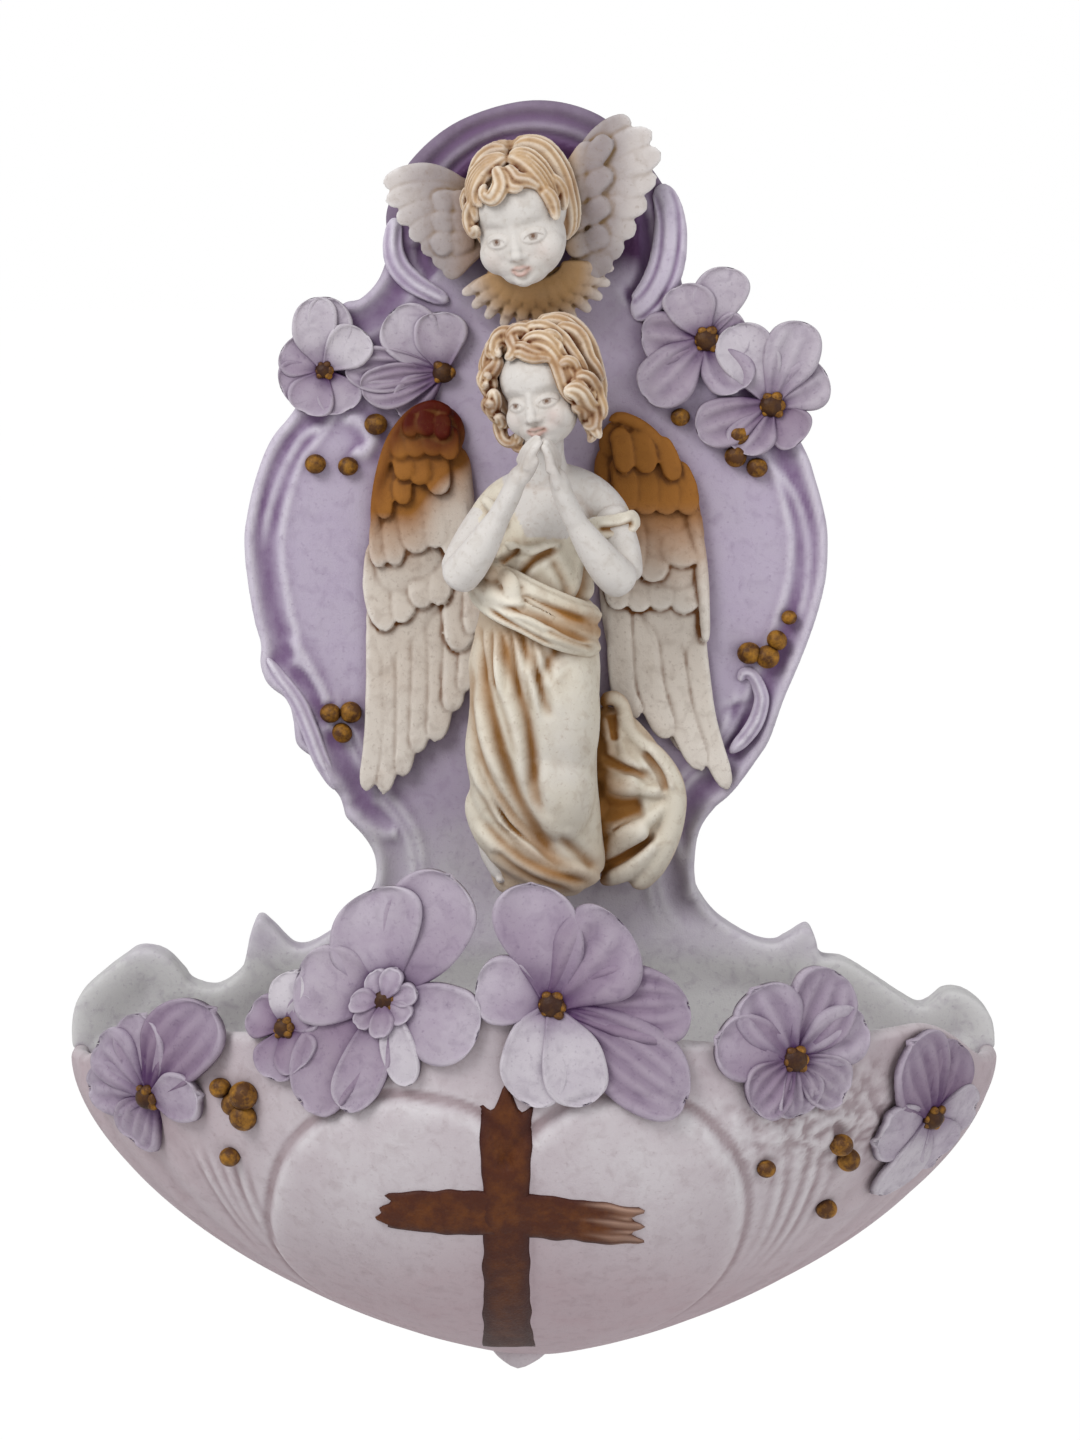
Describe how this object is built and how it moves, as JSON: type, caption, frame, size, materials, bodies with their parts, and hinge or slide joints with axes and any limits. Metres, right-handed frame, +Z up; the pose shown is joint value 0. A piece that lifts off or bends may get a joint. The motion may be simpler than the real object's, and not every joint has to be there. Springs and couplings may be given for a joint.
{
  "type": "holy water stoup",
  "caption": "Wall-hung biscuit porcelain holy water stoup: cartouche backplate with praying angel and winged cherub head over a shell basin edged with flowers and a gilt cross.",
  "frame": {"origin": "on the flat wall face of the backplate, on the centre line, just below the angel's waist", "axes": "+Z up, +X to the right of a viewer facing the stoup, +Y into the wall"},
  "size_m": [0.202, 0.0863, 0.2773],
  "materials": {
    "violet_biscuit": "matte biscuit, violet tint",
    "mauve_biscuit": "matte biscuit, mauve tint",
    "basin_biscuit": "matte biscuit, faint rose tint",
    "flesh_biscuit": "matte biscuit, near white",
    "cream_biscuit": "matte biscuit, cream with ochre in the folds",
    "hair_biscuit": "matte biscuit, ochre stain",
    "wing_biscuit": "matte biscuit, rust fading to white",
    "down_biscuit": "matte biscuit, taupe",
    "gilding": "worn dark gilding"
  },
  "bodies": {
    "root": {"backplate": "violet_biscuit", "basin": "basin_biscuit", "pendant": "basin_biscuit", "robe": "cream_biscuit", "bodice": "cream_biscuit", "sash": "cream_biscuit", "trailing_drape": "cream_biscuit", "toe": "flesh_biscuit", "angel_head": "flesh_biscuit", "angel_hair": "hair_biscuit", "arm_left": "flesh_biscuit", "arm_right": "flesh_biscuit", "wing_left": "wing_biscuit", "wing_right": "wing_biscuit", "cherub_head": "flesh_biscuit", "cherub_hair": "hair_biscuit", "cherub_wing_left": "down_biscuit", "cherub_wing_right": "down_biscuit", "cherub_ruff": "down_biscuit", "scroll_upper_left": "violet_biscuit", "scroll_upper_right": "violet_biscuit", "scroll_lower_left": "violet_biscuit", "scroll_lower_right": "violet_biscuit", "flower_plate_outer_left": "mauve_biscuit", "flower_plate_inner_left": "mauve_biscuit", "flower_plate_inner_right": "mauve_biscuit", "flower_plate_outer_right": "mauve_biscuit", "flower_basin_left_end": "mauve_biscuit", "flower_basin_left_centre": "mauve_biscuit", "corona_basin_left_centre": "mauve_biscuit", "flower_basin_right_centre": "mauve_biscuit", "flower_basin_right": "mauve_biscuit", "flower_basin_right_end": "mauve_biscuit", "bud_basin": "mauve_biscuit", "heart_plate_outer_left": "gilding", "heart_plate_inner_left": "gilding", "heart_plate_inner_right": "gilding", "heart_plate_outer_right": "gilding", "heart_basin_left_end": "gilding", "heart_basin_left_centre": "gilding", "heart_basin_right_centre": "gilding", "heart_basin_right": "gilding", "heart_basin_right_end": "gilding", "heart_bud": "gilding", "berry_left_top": "gilding", "berry_left_outer": "gilding", "berry_left_inner": "gilding", "berries_left_low": "gilding", "berry_right_top": "gilding", "berries_right_top": "gilding", "berry_right_inner": "gilding", "berries_right_low": "gilding", "berry_right_outer": "gilding", "berries_basin_left": "gilding", "berry_basin_left": "gilding", "berry_basin_right_inner": "gilding", "berries_basin_right": "gilding", "berry_basin_right_low": "gilding", "cross": "gilding"}
  },
  "joints": []
}
